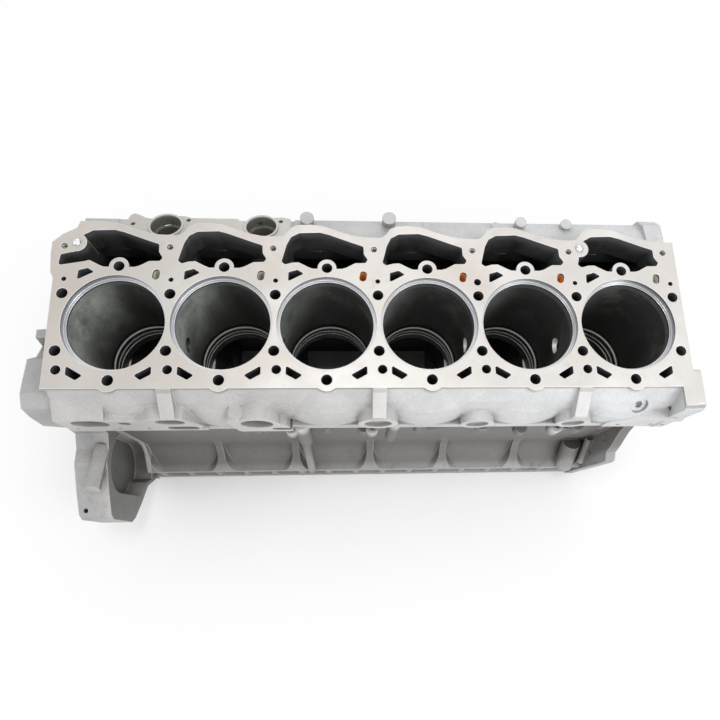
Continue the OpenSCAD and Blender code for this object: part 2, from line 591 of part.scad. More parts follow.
// Pins that locate the housings at the two ends
module flywheel_end_dowels() color("gainsboro") for (a = end_dowel_angles) rotate([a, 0, 0])
    along_x(rear_flange_x + end_dowel_seat - end_dowel_l, rear_flange_x + end_dowel_seat)
        translate([rear_ring_r, 0]) circle(d = end_dowel_d);
module front_cover_dowels() color("gainsboro") for (p = front_dowels)
    along_x(front_x - end_dowel_seat, front_x - end_dowel_seat + end_dowel_l)
        translate(p) circle(d = end_dowel_d);

cylinder_block();
main_bearing_cap(1);  // main_bearing_cap_1
main_bearing_cap(2);  // main_bearing_cap_2
main_bearing_cap(3);  // main_bearing_cap_3
main_bearing_cap(4);  // main_bearing_cap_4
main_bearing_cap(5);  // main_bearing_cap_5
main_bearing_cap(6);  // main_bearing_cap_6
main_bearing_cap(7);  // main_bearing_cap_7
main_cap_bolts();
camshaft_bushing(1);  // camshaft_bushing_1
camshaft_bushing(2);  // camshaft_bushing_2
camshaft_bushing(3);  // camshaft_bushing_3
camshaft_bushing(4);  // camshaft_bushing_4
camshaft_bushing(5);  // camshaft_bushing_5
camshaft_bushing(6);  // camshaft_bushing_6
camshaft_bushing(7);  // camshaft_bushing_7
head_dowels();
end_core_plug();
oil_gallery_plugs();
camshaft_bore_plug();
shoulder_port_plug();
flywheel_end_dowels();
front_cover_dowels();
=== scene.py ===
import math

import bmesh
import bpy
from bpy.props import FloatProperty, FloatVectorProperty, IntProperty, PointerProperty
from mathutils import Matrix, Vector


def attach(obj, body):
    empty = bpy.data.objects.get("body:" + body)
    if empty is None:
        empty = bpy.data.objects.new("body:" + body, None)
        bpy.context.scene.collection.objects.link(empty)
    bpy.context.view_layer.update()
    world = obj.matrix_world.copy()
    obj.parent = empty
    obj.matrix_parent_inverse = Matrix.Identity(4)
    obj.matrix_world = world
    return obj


bl_info = {
    "name": "Inline Engine Block",
    "version": (1, 0, 0),
    "blender": (4, 5, 0),
    "location": "View3D > Sidebar > Engine Block",
    "description": "Finishes a bare inline cylinder block and lights it in a pale studio",
    "category": "Object",
}

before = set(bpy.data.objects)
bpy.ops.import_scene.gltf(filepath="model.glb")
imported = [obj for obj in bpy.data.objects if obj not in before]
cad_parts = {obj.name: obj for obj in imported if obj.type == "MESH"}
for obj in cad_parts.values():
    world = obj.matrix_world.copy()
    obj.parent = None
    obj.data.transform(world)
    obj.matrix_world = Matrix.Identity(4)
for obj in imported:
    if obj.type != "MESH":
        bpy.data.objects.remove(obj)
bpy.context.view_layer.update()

# Sizes of the block in metres, as its solids have them: spacing of the bores, height of the head face and of
# the pan face over the crankshaft axis, and planes of the bulkheads
PITCH = 0.165
DECK = 0.420
RAIL = -0.112
WEBS = [(j - 3) * PITCH for j in range(7)]
# Radius that holds all faces of a bore, and where the first and last bores end
BORE_R = 0.0803
BORES_END = 0.4945
# Height and radius of the cross holes between the bores
CROSS_Z = DECK - 0.103
CROSS_R = 0.014
# Outer end face at the flywheel end, and the plate that closes it at the corner of the first pocket
END_X = -0.505
CORNER = (END_X - 0.0002, 0.1055, 0.36235)
# Centre of the first pump port's face, and how far the ports lean outwards
PORT_1 = (-2.5 * PITCH + 0.047, 0.206, DECK - 0.062)
PORT_LEAN = math.radians(18.0)
# How far the mask of a face reaches past the face
SKIN = 0.0004
# Depths under the head face of the flange seat, the ledge and the gap between them
FLANGE_DEPTH = 0.0108
LEDGE_DEPTH = 0.0262
GAP_DEPTH = (0.0112, 0.0145)
# Heights of the lower seat and of its lip, and the radii that hold the lip and the edges of the grooves
SEAT_Z = (0.161, 0.2245)
LIP_Z = (0.2100, 0.2188)
LIP_R = 0.0758
GROOVE_R = 0.0748
# Pushrod pockets and the chambers under them, across the block and in height
POCKET_Y = (0.0925, 0.1655)
CHAMBER_Y = (0.09, 0.2035)
CHAMBER_Z = (0.10, 0.3345)
# Oil slots beside each bore, and the stretch of the block where they are rusty
SLOT_ALONG = (0.0505, 0.0675)
SLOT_Y = (0.0705, 0.0915)
SLOT_Z = (0.34, 0.4155)
RUSTY_X = (-0.13, 0.34)
# Radius that holds the faces of the main bearing bores
BEARING_R = 0.0603
# Tapped hole of the cover joint: offset from its bulkhead, and place across the block
TAPPED = (-0.0052, 0.130)
# Half of the length and width over which the floor stays in shade
SHADE_HALF = (0.50, 0.15)


class Tone:
    """Fixed colours of the casting"""
    DULL_SILVER = (0.22, 0.222, 0.235)
    GRIME = (0.20, 0.185, 0.165)
    WALL_SHADE = (0.105, 0.098, 0.092)
    LOBE_SHADE = (0.085, 0.09, 0.078)
    CREVICE_SHADE = (0.115, 0.108, 0.10)
    EDGE_SHADOW = (0.13, 0.12, 0.11)
    LOOSE_RUST = (0.25, 0.165, 0.10)
    WORN_CAST = (0.66, 0.655, 0.645)
    PALE_STEEL = (0.80, 0.795, 0.785)
    WARM_STEEL = (0.53, 0.44, 0.375)
    STAIN = (0.36, 0.31, 0.27)
    DECK_SHADE = (0.40, 0.372, 0.335)
    STEEL_RIM_WEAR_AND_HIGHLIGHT = (0.90, 0.895, 0.89)
    WET_OIL = (0.085, 0.088, 0.083)
    OIL_CLOUD_AND_SHEEN = (0.27, 0.272, 0.262)
    BORE_DEPTH_SHADE = (0.062, 0.064, 0.060)
    THICK_OIL = (0.045, 0.047, 0.043)
    LEDGE = (0.22, 0.22, 0.225)
    GAP = (0.018, 0.018, 0.018)
    SHADED_FLANGE_WALL = (0.30, 0.31, 0.33)
    LIT_FLANGE_SEAT = (0.62, 0.625, 0.64)
    FLANGE_RIM_WEAR_AND_HIGHLIGHT = (0.90, 0.90, 0.90)
    LOWER_SEAT = (0.026, 0.026, 0.023)
    SEAT_LIP_AND_HIGHLIGHT = (0.97, 0.96, 0.92)
    LIT_POCKET_RIM = (0.115, 0.12, 0.135)
    CROSS_OILED = (0.045, 0.046, 0.043)
    CROSS_CLEAN = (0.80, 0.79, 0.74)
    CRANKCASE = (0.075, 0.073, 0.068)
    PUMP_BORE = (0.13, 0.132, 0.105)
    CLEAN_SLOT = (0.86, 0.84, 0.74)
    SLOT_DIRT = (0.42, 0.28, 0.16)
    THREADS = (0.66, 0.64, 0.60)


def colour(name, text, value):
    return FloatVectorProperty(name=name, description=text, subtype="COLOR", size=3,
                               min=0.0, max=1.0, default=value)


class CastFinish(bpy.types.PropertyGroup):
    """Colours and surface of the casting and its machined faces"""
    paint: colour("Cast surface", "Silver grey of the rough casting", (0.50, 0.492, 0.484))
    milled: colour("Milled faces", "Colour of the milled head face", (0.62, 0.598, 0.572))
    # Painted light: the lighter colour of the bore walls on the side the light falls on
    oiled: colour("Oiled bores", "Dark film on the water side of the bores", (0.80, 0.84, 0.78))
    # Painted shade inside the pushrod chambers and holes
    hollow_shade: colour("Chambers", "Colour inside the pushrod chambers and holes", (0.030, 0.030, 0.029))
    rust: colour("Rust", "Loose rust at the bottom of the oil slots", (1.0, 0.50, 0.15))
    edge_radius: FloatProperty(name="Cast edge radius", description="Rounding of the cast edges",
                               default=0.0035, min=0.0, max=0.02, subtype="DISTANCE", unit="LENGTH")
    grain: FloatProperty(name="Sand grain", description="Height of the sand grain on the casting",
                         default=0.0006, min=0.0, max=0.002, subtype="DISTANCE", unit="LENGTH")


class HardwareFinish(bpy.types.PropertyGroup):
    """Colours of the separate pieces in the block"""
    iron: colour("Bearing caps", "Bare machined iron", (0.16, 0.16, 0.165))
    bolt: colour("Bolts", "Dark oiled steel", (0.10, 0.10, 0.105))
    dowel: colour("Dowels", "Ground bright steel", (0.72, 0.73, 0.75))
    plug: colour("Plugs", "Plated steel", (0.60, 0.61, 0.62))
    bronze: colour("Bushings", "Bearing bronze", (0.42, 0.30, 0.13))


class ThreadSizes(bpy.types.PropertyGroup):
    """Thread coils in the small tapped holes of the head face"""
    radius: FloatProperty(name="Thread radius", description="Radius of the coil at its crest", default=0.0049,
                          min=0.001, max=0.02, subtype="DISTANCE", unit="LENGTH")
    wire: FloatProperty(name="Crest radius", description="Radius of the rounded crest", default=0.00055,
                        min=0.0001, max=0.002, subtype="DISTANCE", unit="LENGTH")
    pitch: FloatProperty(name="Thread pitch", description="Rise of one turn", default=0.0015,
                         min=0.0005, max=0.004, subtype="DISTANCE", unit="LENGTH")
    turns: IntProperty(name="Turns", description="Turns that show in the hole", default=11, min=1, max=30)
    depth: FloatProperty(name="Start depth", description="Depth of the first turn below the head face",
                         default=0.0022, min=0.0, max=0.02, subtype="DISTANCE", unit="LENGTH")


class PortSizes(bpy.types.PropertyGroup):
    """Rim of the first pump port"""
    bore: FloatProperty(name="Port radius", description="Inner radius of the rim", default=0.0265, min=0.01,
                        max=0.05, subtype="DISTANCE", unit="LENGTH")
    wall: FloatProperty(name="Rim wall", description="Thickness of the rim", default=0.0032, min=0.001,
                        max=0.01, subtype="DISTANCE", unit="LENGTH")
    top: FloatProperty(name="Top", description="Depth of the rim's top below the face", default=0.009,
                       min=0.0, max=0.05, subtype="DISTANCE", unit="LENGTH")
    foot: FloatProperty(name="Foot", description="Depth of the rim's foot below the face", default=0.0185,
                        min=0.0, max=0.05, subtype="DISTANCE", unit="LENGTH")
    sides: IntProperty(name="Facets", description="Facets round the rim", default=72, min=12, max=256)


class CornerSizes(bpy.types.PropertyGroup):
    """End wall at the corner of the first pocket"""
    wall: FloatProperty(name="Wall", description="Thickness of the wall", default=0.003, min=0.001, max=0.01,
                        subtype="DISTANCE", unit="LENGTH")
    width: FloatProperty(name="Width", description="Width across the block", default=0.022, min=0.005,
                         max=0.05, subtype="DISTANCE", unit="LENGTH")
    height: FloatProperty(name="Height", description="Height of the wall", default=0.0137, min=0.005,
                          max=0.05, subtype="DISTANCE", unit="LENGTH")


class StudioSizes(bpy.types.PropertyGroup):
    """Floor, lamps and camera"""
    floor_size: FloatProperty(name="Floor size", description="Side of the floor", default=14.0, min=1.0,
                              unit="LENGTH")
    floor_colour: colour("Floor", "Colour of the floor", (0.86, 0.86, 0.86))
    key_power: FloatProperty(name="Key lamp", description="Power of the large lamp high at the front",
                             default=28.0, min=0.0, unit="POWER")
    top_power: FloatProperty(name="Top lamp", description="Power of the small lamp right above the bores",
                             default=15.0, min=0.0, unit="POWER")
    fill_power: FloatProperty(name="Fill lamps", description="Power of the side lamps", default=12.0,
                              min=0.0, unit="POWER")
    focal_px: FloatProperty(name="Focal length", description="Focal length in picture widths",
                            default=0.78713, min=0.1, max=10.0)


class Graph:
    """Short calls that place and join shader nodes"""

    def __init__(self, tree):
        self.tree = tree

    def node(self, kind, inputs=(), **settings):
        n = self.tree.nodes.new(kind)
        for key, value in settings.items():
            setattr(n, key, value)
        for key, value in dict(inputs).items():
            self.plug(n.inputs[key], value)
        return n

    def plug(self, socket, value):
        if isinstance(value, bpy.types.NodeSocket):
            self.tree.links.new(value, socket)
        else:
            socket.default_value = value

    def math(self, operation, a, b=0.0, c=0.0):
        n = self.tree.nodes.new("ShaderNodeMath")
        n.operation = operation
        for socket, value in zip(n.inputs, (a, b, c)):
            self.plug(socket, value)
        return n.outputs[0]

    def add(self, a, b):
        return self.math("ADD", a, b)

    def sub(self, a, b):
        return self.math("SUBTRACT", a, b)

    def mul(self, a, b):
        return self.math("MULTIPLY", a, b)

    def over(self, a, b):
        return self.math("GREATER_THAN", a, b)

    def under(self, a, b):
        return self.math("LESS_THAN", a, b)

    def both(self, *masks):
        out = masks[0]
        for m in masks[1:]:
            out = self.mul(out, m)
        return out

    def either(self, *masks):
        out = masks[0]
        for m in masks[1:]:
            out = self.math("MAXIMUM", out, m)
        return out

    def off(self, mask):
        return self.sub(1.0, mask)

    def size(self, a):
        return self.math("ABSOLUTE", a)

    def reach(self, a, b):
        return self.math("SQRT", self.add(self.mul(a, a), self.mul(b, b)))

    def within(self, a, low, high):
        return self.mul(self.over(a, low), self.under(a, high))

    def soft(self, a, low, high, out_low=0.0, out_high=1.0):
        n = self.node("ShaderNodeMapRange", interpolation_type="SMOOTHSTEP")
        for key, value in zip(("Value", "From Min", "From Max", "To Min", "To Max"),
                              (a, low, high, out_low, out_high)):
            self.plug(n.inputs[key], value)
        return n.outputs[0]

    def mix(self, factor, a, b):
        n = self.tree.nodes.new("ShaderNodeMix")
        n.data_type = "RGBA"
        self.plug(n.inputs[0], factor)
        for socket, value in ((n.inputs[6], a), (n.inputs[7], b)):
            if not isinstance(value, bpy.types.NodeSocket):
                value = tuple(value) + (1.0,) * (4 - len(value))
            self.plug(socket, value)
        return n.outputs[2]

    def blend(self, factor, a, b):
        n = self.tree.nodes.new("ShaderNodeMix")
        n.data_type = "FLOAT"
        for socket, value in zip((n.inputs[0], n.inputs[2], n.inputs[3]), (factor, a, b)):
            self.plug(socket, value)
        return n.outputs[0]

    def scaled(self, rgb, factor):
        n = self.tree.nodes.new("ShaderNodeVectorMath")
        n.operation = "SCALE"
        if isinstance(rgb, bpy.types.NodeSocket):
            self.plug(n.inputs[0], rgb)
        else:
            n.inputs[0].default_value = tuple(rgb)[:3]
        self.plug(n.inputs["Scale"], factor)
        return n.outputs[0]

    def noise(self, vector, scale, detail=3.0, rough=0.55):
        n = self.node("ShaderNodeTexNoise", {"Vector": vector, "Scale": scale, "Detail": detail,
                                             "Roughness": rough})
        return n.outputs["Fac"]

    def place(self):
        return self.node("ShaderNodeTexCoord").outputs["Object"]

    def stretch(self, vector, scale):
        n = self.node("ShaderNodeMapping", {"Vector": vector})
        n.inputs["Scale"].default_value = scale
        return n.outputs[0]

    def split(self, vector):
        n = self.node("ShaderNodeSeparateXYZ", {0: vector})
        return n.outputs[0], n.outputs[1], n.outputs[2]


def new_group(name, inputs, outputs):
    """An empty shader node group with named sockets"""
    tree = bpy.data.node_groups.new(name, "ShaderNodeTree")
    for socket, kind, value in inputs:
        s = tree.interface.new_socket(socket, in_out="INPUT", socket_type=kind)
        if value is not None:
            s.default_value = value
    for socket, kind in outputs:
        tree.interface.new_socket(socket, in_out="OUTPUT", socket_type=kind)
    g = Graph(tree)
    return tree, g, g.node("NodeGroupInput").outputs, g.node("NodeGroupOutput").inputs


def build_cast_grain():
    """Sand grain of a casting: a colour factor and a height"""
    tree, g, ins, outs = new_group("Cast grain", [("Vector", "NodeSocketVector", None),
                                                  ("Grain Scale", "NodeSocketFloat", 620.0)],
                                   [("Tone", "NodeSocketFloat"), ("Height", "NodeSocketFloat")])
    fine = g.noise(ins["Vector"], ins["Grain Scale"], 4.0, 0.6)
    coarse = g.noise(ins["Vector"], 300.0, 3.0, 0.6)
    broad = g.noise(ins["Vector"], 17.0, 3.0, 0.6)
    g.plug(outs["Height"], g.add(g.mul(fine, 0.45), g.mul(coarse, 0.9)))
    speckle = g.add(g.soft(fine, 0.2, 0.8, -0.08, 0.08), g.soft(coarse, 0.25, 0.75, -0.05, 0.05))
    g.plug(outs["Tone"], g.add(g.soft(broad, 0.25, 0.75, 0.90, 1.06), speckle))
    return tree


def build_milled_marks():
    """Fine arcs that a large face mill leaves: a colour factor and a height"""
    tree, g, ins, outs = new_group("Milled marks", [("Vector", "NodeSocketVector", None),
                                                    ("Feed", "NodeSocketFloat", 0.0016)],
                                   [("Tone", "NodeSocketFloat"), ("Height", "NodeSocketFloat")])
    x, y = g.split(ins["Vector"])[:2]
    arc = g.sub(x, g.math("SQRT", g.math("MAXIMUM", g.sub(0.09, g.mul(y, y)), 0.0)))
    line = g.math("SINE", g.math("DIVIDE", g.mul(arc, 6.2832), ins["Feed"]))
    broken = g.noise(g.stretch(ins["Vector"], (60.0, 8.0, 60.0)), 6.0, 3.0)
    broad = g.noise(ins["Vector"], 9.0, 4.0, 0.6)
    g.plug(outs["Height"], g.mul(line, broken))
    g.plug(outs["Tone"], g.add(g.mul(g.mul(line, broken), 0.03), g.soft(broad, 0.3, 0.7, 0.93, 1.05)))
    return tree


def build_oil_film():
    """Uneven oil film: a mask of where it is thick"""
    tree, g, ins, outs = new_group("Oil film", [("Vector", "NodeSocketVector", None),
                                                ("Streak Scale", "NodeSocketFloat", 14.0)],
                                   [("Mask", "NodeSocketFloat")])
    streak = g.noise(g.stretch(ins["Vector"], (1.0, 1.0, 0.25)), ins["Streak Scale"], 4.0, 0.6)
    spot = g.noise(ins["Vector"], 75.0, 2.0, 0.5)
    g.plug(outs["Mask"], g.soft(g.add(streak, g.mul(spot, 0.25)), 0.45, 0.85))
    return tree


def build_edge_wear():
    """Rounded shading normal of an edge and a mask of where the edge turns"""
    tree, g, ins, outs = new_group("Edge wear", [("Radius", "NodeSocketFloat", 0.003)],
                                   [("Normal", "NodeSocketVector"), ("Mask", "NodeSocketFloat")])
    soft = g.node("ShaderNodeBevel", {"Radius": ins["Radius"]}, samples=6).outputs[0]
    true = g.node("ShaderNodeNewGeometry").outputs["True Normal"]
    turn = g.node("ShaderNodeVectorMath", {0: soft, 1: true}, operation="DOT_PRODUCT").outputs["Value"]
    g.plug(outs["Normal"], soft)
    g.plug(outs["Mask"], g.soft(g.sub(1.0, turn), 0.015, 0.13))
    return tree


def build_crevice_shade():
    """Mask of the corners and hollows, from ambient occlusion, where shade is painted"""
    tree, g, ins, outs = new_group("Crevice shade", [("Reach", "NodeSocketFloat", 0.06)],
                                   [("Mask", "NodeSocketFloat")])
    open_sky = g.node("ShaderNodeAmbientOcclusion", {"Distance": ins["Reach"]}, samples=4).outputs["AO"]
    g.plug(outs["Mask"], g.soft(open_sky, 0.25, 0.92, 1.0, 0.0))
    return tree


def use_group(g, tree, **inputs):
    n = g.node("ShaderNodeGroup", node_tree=tree)
    for key, value in inputs.items():
        g.plug(n.inputs[key.replace("_", " ")], value)
    return n.outputs


def fresh_material(name):
    mat = bpy.data.materials.new(name)
    mat.use_nodes = True
    mat.node_tree.nodes.clear()
    g = Graph(mat.node_tree)
    shader = g.node("ShaderNodeBsdfPrincipled")
    out = g.node("ShaderNodeOutputMaterial")
    mat.node_tree.links.new(shader.outputs[0], out.inputs[0])
    return mat, g, shader


def bumped(g, height, distance, normal=None):
    n = g.node("ShaderNodeBump", {"Height": height, "Distance": distance})
    n.inputs["Strength"].default_value = 1.0
    if normal is not None:
        g.plug(n.inputs["Normal"], normal)
    return n.outputs[0]


class Place:
    """Position and direction of a point of the casting, and masks of its places by name"""

    def __init__(self, g, at):
        self.x, self.y, self.z = g.split(at)
        self.nx, self.ny, self.nz = g.split(g.node("ShaderNodeNewGeometry").outputs["True Normal"])
        self.along = g.sub(g.math("WRAP", self.x, PITCH, 0.0), PITCH / 2)
        self.radius = g.reach(self.along, self.y)
        self.inside = g.within(self.x, END_X + SKIN, 0.5075)
        self.deck = g.both(g.over(self.z, DECK - SKIN), g.over(self.nz, 0.9))
        for find in (bore_places, dark_places, lower_places, outer_places, pump_places):
            find(g, self)


def bore_places(g, p):
    """Flange seat, ledge, gap and grooved lower seat of the bores, and the cross holes between them"""
    p.bore = g.both(g.under(p.radius, BORE_R), g.within(p.z, 0.155, DECK - SKIN),
                    g.under(g.size(p.x), BORES_END))
    p.flange_seat = g.both(p.bore, g.over(p.z, DECK - FLANGE_DEPTH))
    p.ledge = g.both(p.bore, g.within(p.z, DECK - LEDGE_DEPTH, DECK - FLANGE_DEPTH))
    p.gap = g.both(p.bore, g.within(p.z, DECK - GAP_DEPTH[1], DECK - GAP_DEPTH[0]))
    p.seat = g.both(p.bore, g.within(p.z, *SEAT_Z))
    lip = g.both(g.within(p.z, *LIP_Z), g.under(p.radius, LIP_R))
    grooves = g.both(g.under(p.z, LIP_Z[0]), g.under(p.radius, GROOVE_R))
    p.seat_edges = g.both(p.seat, g.either(lip, grooves), g.over(g.size(p.nz), 0.3))
    from_axis = g.reach(p.y, g.sub(p.z, CROSS_Z))
    p.tunnel = g.both(g.within(from_axis, CROSS_R - 0.0005, CROSS_R + 0.0005), g.over(g.size(p.along), 0.076),
                      g.under(g.size(p.nx), 0.3), g.under(g.size(p.x), 0.48))


def dark_places(g, p):
    """Insides of the holes, pushrod pockets and chambers, and the oil slots"""
    under_deck = g.under(p.z, DECK - SKIN)
    holes = g.both(p.inside, g.within(p.y, -0.1072, 0.149), g.over(p.z, 0.30), g.over(p.radius, BORE_R))
    pockets = g.both(p.inside, g.within(p.y, *POCKET_Y), g.over(p.z, 0.33),
                     g.under(g.size(p.along), 0.0765))
    corner = g.both(g.within(p.x, -0.509, -0.48), g.within(p.y, POCKET_Y[0], 0.1215), g.over(p.z, 0.355))
    chambers = g.both(g.under(g.size(p.x), 0.4955), g.within(p.y, *CHAMBER_Y), g.within(p.z, *CHAMBER_Z))
    outside = g.both(g.over(p.y, 0.141), g.over(p.ny, 0.2), g.over(p.z, 0.30))
    lug_side = g.both(g.under(p.ny, -0.3), g.under(p.y, 0.1005))
    lug = g.both(g.under(p.x, END_X + SKIN), g.either(g.under(p.nz, -0.3), g.under(p.nx, -0.3), lug_side))
    # Where shade is painted inside the holes, pockets and chambers
    p.dark = g.both(g.either(g.both(g.either(holes, pockets, corner), under_deck), chambers),
                    g.off(p.deck), g.off(outside), g.off(lug))
    p.slot = g.both(p.inside, g.within(p.along, *SLOT_ALONG), g.within(p.y, *SLOT_Y), g.within(p.z, *SLOT_Z))
    p.rusty = g.within(p.x, *RUSTY_X)


def lower_places(g, p):
    """Main bearing bores and the inside of the crankcase"""
    p.bearing = g.both(g.under(g.reach(p.y, p.z), BEARING_R), g.under(g.size(p.x), 0.5105))
    crank = g.both(g.under(g.size(p.x), 0.4985), g.under(g.size(p.y), 0.1485),
                   g.within(p.z, RAIL + 0.0006, 0.2), g.either(g.over(p.y, -0.1105), g.under(p.z, -0.028)))
    p.crankcase = g.both(crank, g.off(g.either(p.bore, p.bearing)))
    # Inner face of the starter lobe, where painted shade goes
    p.lobe_inside = g.both(g.over(p.nx, 0.3), g.under(p.nz, 0.22), g.within(p.x, -0.54, -0.49),
                           g.under(p.y, -0.112), g.under(p.z, 0.29))
    p.pan = g.both(g.under(p.nz, -0.95), g.under(p.z, RAIL + SKIN))


def outer_places(g, p):
    """Port flanges and clamp pads of the near side, and the two end faces"""
    p.port_faces = g.both(g.under(p.ny, -0.95), g.within(p.y, -0.1535, -0.1485), g.over(p.z, 0.29))
    from_pad = g.size(g.sub(g.math("WRAP", p.x, 3 * PITCH, PITCH), 2 * PITCH))
    p.pads = g.both(g.under(from_pad, 0.0113), g.under(g.size(p.x), 0.36), g.within(p.y, -0.1495, -0.1086),
                    g.over(p.z, 0.384), g.under(p.ny, -0.5))
    p.ends = g.both(g.over(g.size(p.nx), 0.95), g.either(g.under(p.x, -0.5546), g.over(p.x, 0.5096)))


def pump_places(g, p):
    """Faces and insides of the two leaning pump ports"""
    lean_y, lean_z = math.sin(PORT_LEAN), math.cos(PORT_LEAN)
    y, z = g.sub(p.y, PORT_1[1]), g.sub(p.z, PORT_1[2])
    apart = g.math("WRAP", g.sub(p.x, PORT_1[0]), PITCH / 2, -PITCH / 2)
    across = g.sub(g.mul(y, lean_z), g.mul(z, lean_y))
    depth = g.add(g.mul(y, lean_y), g.mul(z, lean_z))
    turned = g.sub(g.mul(p.ny, lean_z), g.mul(p.nz, lean_y))
    inward = g.under(g.add(g.mul(apart, p.nx), g.mul(across, turned)), 0.002)
    p.pump_bore = g.both(g.within(p.x, -0.42, -0.14), g.within(depth, -0.09, -0.0006), inward,
                         g.under(g.reach(apart, across), 0.0270))
    p.pump_face = g.both(g.within(p.x, -0.445, -0.15), g.within(p.y, 0.177, 0.245),
                         g.over(g.add(p.z, g.mul(p.y, 0.325)), 0.4242),
                         g.within(g.add(g.mul(p.ny, lean_y), g.mul(p.nz, lean_z)), 0.98, 1.1))


def cast_tone(g, at, p, look, grain, wear_and_highlight):
    """Silver paint, dirtier towards the pan face, with painted light towards the front end and painted shade
    on the lower wall, in the corners and under the head face's edge
    """
    hollow = use_group(g, bpy.data.node_groups["Crevice shade"], Reach=0.06)["Mask"]
    # Painted light: the silver is coloured lighter towards the front end, where the light falls stronger
    silver = g.mix(g.soft(p.x, -0.35, 0.45), g.scaled(look.paint, 0.90),
                   (look.paint[0] * 1.20, look.paint[1] * 1.23, look.paint[2] * 1.27))
    silver = g.mix(g.soft(p.x, -0.49, -0.53, 0.0, 0.35), silver, Tone.DULL_SILVER)
    paint = g.scaled(silver, grain["Tone"])
    dirt = g.soft(g.noise(at, 26.0, 4.0, 0.65), 0.50, 0.80)
    paint = g.mix(g.mul(dirt, g.soft(p.z, 0.34, 0.10, 0.10, 0.62)), paint, Tone.GRIME)
    # Painted shade on the lower side wall below the flange, weaker out on the rail
    wall = g.mul(g.soft(p.z, 0.295, 0.255), g.over(p.x, -0.485))
    shade = g.soft(g.size(p.y), 0.150, 0.170, 0.84, 0.50)
    paint = g.mix(g.mul(wall, shade), paint, Tone.WALL_SHADE)
    # Painted shade, with a greenish tint, on the inner face of the starter lobe
    paint = g.mix(g.mul(p.lobe_inside, 0.72), paint, Tone.LOBE_SHADE)
    # Painted shade in corners and hollows, stronger lower down
    paint = g.mix(g.mul(hollow, g.soft(p.z, 0.40, 0.30, 0.35, 0.80)), paint, Tone.CREVICE_SHADE)
    # Painted shadow line on the near side just under the milled edge of the head face
    edge_shadow = g.both(g.within(p.z, DECK - 0.0055, DECK - 0.0008), g.under(p.y, -0.10))
    paint = g.mix(g.mul(edge_shadow, 0.45), paint, Tone.EDGE_SHADOW)
    loose = g.mul(g.soft(g.noise(at, 60.0, 5.0, 0.7), 0.58, 0.70), g.soft(p.z, 0.30, 0.16))
    paint = g.mix(g.mul(loose, 0.55), paint, Tone.LOOSE_RUST)
    return g.mix(g.mul(wear_and_highlight["Mask"], 0.45), paint, Tone.WORN_CAST)


def steel_tone(g, at, p, look, marks, wear_and_highlight, warm):
    """Milled face with pale, warm and stained patches, painted shade towards the flywheel end, and bright
    rims that are worn edges with a painted highlight
    """
    stain = g.soft(g.noise(at, 38.0, 5.0, 0.7), 0.56, 0.74)
    pale = g.soft(g.noise(at, 4.5, 4.0, 0.6), 0.48, 0.72)
    steel = g.mix(g.mul(pale, 0.45), g.scaled(look.milled, marks["Tone"]), Tone.PALE_STEEL)
    tint = g.both(warm, g.soft(p.x, 0.42, 0.22, 0.12, 0.50), g.soft(p.y, -0.11, -0.04, 0.4, 1.0))
    steel = g.mix(tint, steel, Tone.WARM_STEEL)
    steel = g.mix(g.mul(stain, 0.28), steel, Tone.STAIN)
    # Painted shade: the milled face is coloured darker towards the flywheel end
    steel = g.mix(g.soft(p.x, 0.02, -0.46, 0.0, 0.60), steel, Tone.DECK_SHADE)
    # Bright rims: worn edges with a painted highlight
    return g.mix(g.mul(wear_and_highlight["Mask"], 0.85), steel, Tone.STEEL_RIM_WEAR_AND_HIGHLIGHT)


def bore_tone(g, at, p, look, film):
    """Bore wall under an oil film, with painted light on the side that faces the middle (stronger in the rear
    bores and broken by streaks), pale patches that are partly uneven oil and partly painted reflection, and
    painted shade deeper down
    """
    facing = g.math("DIVIDE", g.mul(p.along, -1.0), g.math("MAXIMUM", p.radius, 0.01))
    smear = g.noise(g.stretch(at, (1.0, 1.0, 0.4)), 24.0, 5.0, 0.6)
    # Painted light on the walls that face the middle, stronger in the rear bores
    lit_side = g.both(g.soft(facing, -0.1, 0.95), g.soft(smear, 0.36, 0.60, 0.48, 1.0),
                 g.soft(p.x, -0.08, -0.38, 0.45, 1.0))
    # Pale patches, partly uneven oil and partly painted reflection, stronger near the top
    cloud = g.mul(g.soft(g.noise(at, 16.0, 5.0, 0.65), 0.48, 0.66), g.soft(p.z, 0.24, 0.36, 0.15, 0.62))
    tone = g.mix(cloud, g.mix(lit_side, Tone.WET_OIL, look.oiled), Tone.OIL_CLOUD_AND_SHEEN)
    # Painted shade deeper down in the bore
    tone = g.mix(g.soft(p.z, 0.34, 0.21, 0.0, 0.8), tone, Tone.BORE_DEPTH_SHADE)
    return g.mix(g.mul(film, 0.5), tone, Tone.THICK_OIL)


def machined_tones(g, p, tone, marks, wear_and_highlight):
    """Ledge, painted shadow in the gap, flange seat painted lit on its flat faces and shaded on its walls
    with highlighted rims, and lower seat with highlighted lips, laid over a tone
    """
    tone = g.mix(g.mul(p.ledge, 0.4), tone, Tone.LEDGE)
    # Painted shadow in the gap under the ledge
    tone = g.mix(g.mul(p.gap, 0.9), tone, Tone.GAP)
    # Lit and shaded copies of the flange finish: flat seat painted light, its walls painted shade
    seat = g.mix(g.over(p.nz, 0.5), Tone.SHADED_FLANGE_WALL, Tone.LIT_FLANGE_SEAT)
    # Bright flange rim: worn edges with a painted highlight
    seat = g.mix(g.mul(wear_and_highlight["Mask"], 0.9), g.scaled(seat, marks["Tone"]), Tone.FLANGE_RIM_WEAR_AND_HIGHLIGHT)
    tone = g.mix(p.flange_seat, tone, seat)
    tone = g.mix(p.seat, tone, Tone.LOWER_SEAT)
    # Lips and groove edges of the lower seat: bright machined lands with a painted highlight
    return g.mix(g.either(p.seat_edges, g.mul(p.seat, wear_and_highlight["Mask"])), tone, Tone.SEAT_LIP_AND_HIGHLIGHT)


